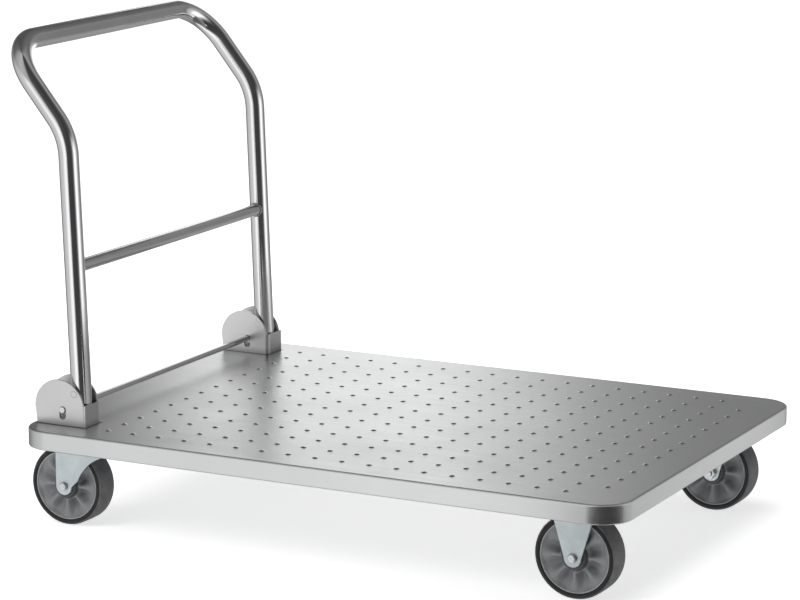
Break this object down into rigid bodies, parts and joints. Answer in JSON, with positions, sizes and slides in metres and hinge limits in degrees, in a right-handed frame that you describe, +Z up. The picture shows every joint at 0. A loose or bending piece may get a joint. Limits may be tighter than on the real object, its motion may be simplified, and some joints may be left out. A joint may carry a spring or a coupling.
{
  "type": "folding platform cart",
  "caption": "Flat-deck hand cart with a dimpled sheet platform, a fold-down tube handle with a foot latch, and swivel and rigid casters.",
  "frame": {"origin": "on the floor under the middle of the overall length and width", "axes": "+X from the handle end to the front, +Y to the cart's left side, +Z up"},
  "size_m": [1.0788, 0.72, 0.7703],
  "materials": {
    "deck_steel": "satin pressed stainless sheet",
    "frame_steel": "galvanised folded sheet",
    "bracket_steel": "satin sheet, lightly brushed",
    "tube_steel": "polished stainless tube",
    "caster_zinc": "pale blue zinc plating on pressed steel",
    "bolt_zinc": "bright zinc plating",
    "bright_steel": "ground steel",
    "hub_plastic": "moulded grey plastic",
    "tyre_rubber": "dark grey rubber",
    "bush_bronze": "sintered bronze"
  },
  "bodies": {
    "deck": {"deck_pan": "deck_steel", "rear_cross_member": "frame_steel", "front_cross_member": "frame_steel", "long_rail_right": "frame_steel", "long_rail_left": "frame_steel", "bracket_shell_right": "bracket_steel", "bracket_shell_left": "bracket_steel", "bracket_plate_right": "bracket_steel", "bracket_plate_left": "bracket_steel", "pivot_pins": "bracket_steel", "bracket_bolts": "bolt_zinc", "bracket_nuts": "bolt_zinc", "caster_bolts": "bolt_zinc", "caster_nuts": "bolt_zinc", "swivel_plate_right": "caster_zinc", "swivel_plate_left": "caster_zinc", "kingpins": "bolt_zinc", "rigid_plate_right": "caster_zinc", "rigid_plate_left": "caster_zinc", "rigid_fork_right": "caster_zinc", "rigid_fork_left": "caster_zinc", "rigid_axles": "bolt_zinc", "rigid_nuts": "bolt_zinc", "rigid_spacers": "bright_steel", "latch_springs": "bright_steel"},
    "handle": {"handle_tube": "tube_steel", "cross_brace": "tube_steel", "pivot_bushes": "bush_bronze", "tube_feet": "tube_steel"},
    "latch": {"latch_rod": "tube_steel", "latch_collars": "bright_steel"},
    "swivel_right": {"swivel_fork_right": "caster_zinc", "swivel_balls_right": "bright_steel", "swivel_axle_right": "bolt_zinc", "swivel_nut_right": "bolt_zinc", "swivel_spacer_right": "bright_steel"},
    "swivel_wheel_right": {"swivel_core_right": "hub_plastic", "swivel_tyre_right": "tyre_rubber", "swivel_bearings_right": "bright_steel"},
    "rigid_wheel_right": {"rigid_core_right": "hub_plastic", "rigid_tyre_right": "tyre_rubber", "rigid_bearings_right": "bright_steel"},
    "swivel_left": {"swivel_fork_left": "caster_zinc", "swivel_balls_left": "bright_steel", "swivel_axle_left": "bolt_zinc", "swivel_nut_left": "bolt_zinc", "swivel_spacer_left": "bright_steel"},
    "swivel_wheel_left": {"swivel_core_left": "hub_plastic", "swivel_tyre_left": "tyre_rubber", "swivel_bearings_left": "bright_steel"},
    "rigid_wheel_left": {"rigid_core_left": "hub_plastic", "rigid_tyre_left": "tyre_rubber", "rigid_bearings_left": "bright_steel"}
  },
  "joints": [
    {"name": "handle_fold", "type": "hinge", "parent": "deck", "child": "handle", "pos_m": [-0.39891, 0, 0.218], "axis": [0, 1, 0], "range_deg": [0, 90]},
    {"name": "latch_press", "type": "slide", "parent": "deck", "child": "latch", "axis": [0, 0, -1], "range_m": [0, 0.01], "stiffness_N_per_m": 1000, "springref_m": -0.01, "deforming": ["latch_springs"]},
    {"name": "swivel_right_turn", "type": "hinge", "parent": "deck", "child": "swivel_right", "pos_m": [-0.38761, -0.27, 0.14], "axis": [0, 0, 1], "continuous": true},
    {"name": "swivel_wheel_right_spin", "type": "hinge", "parent": "swivel_right", "child": "swivel_wheel_right", "pos_m": [-0.42961, -0.27, 0.064], "axis": [0, 1, 0], "continuous": true},
    {"name": "rigid_wheel_right_spin", "type": "hinge", "parent": "deck", "child": "rigid_wheel_right", "pos_m": [0.44139, -0.27, 0.064], "axis": [0, 1, 0], "continuous": true},
    {"name": "swivel_left_turn", "type": "hinge", "parent": "deck", "child": "swivel_left", "pos_m": [-0.38761, 0.27, 0.14], "axis": [0, 0, 1], "continuous": true},
    {"name": "swivel_wheel_left_spin", "type": "hinge", "parent": "swivel_left", "child": "swivel_wheel_left", "pos_m": [-0.42961, 0.27, 0.064], "axis": [0, 1, 0], "continuous": true},
    {"name": "rigid_wheel_left_spin", "type": "hinge", "parent": "deck", "child": "rigid_wheel_left", "pos_m": [0.44139, 0.27, 0.064], "axis": [0, 1, 0], "continuous": true}
  ]
}
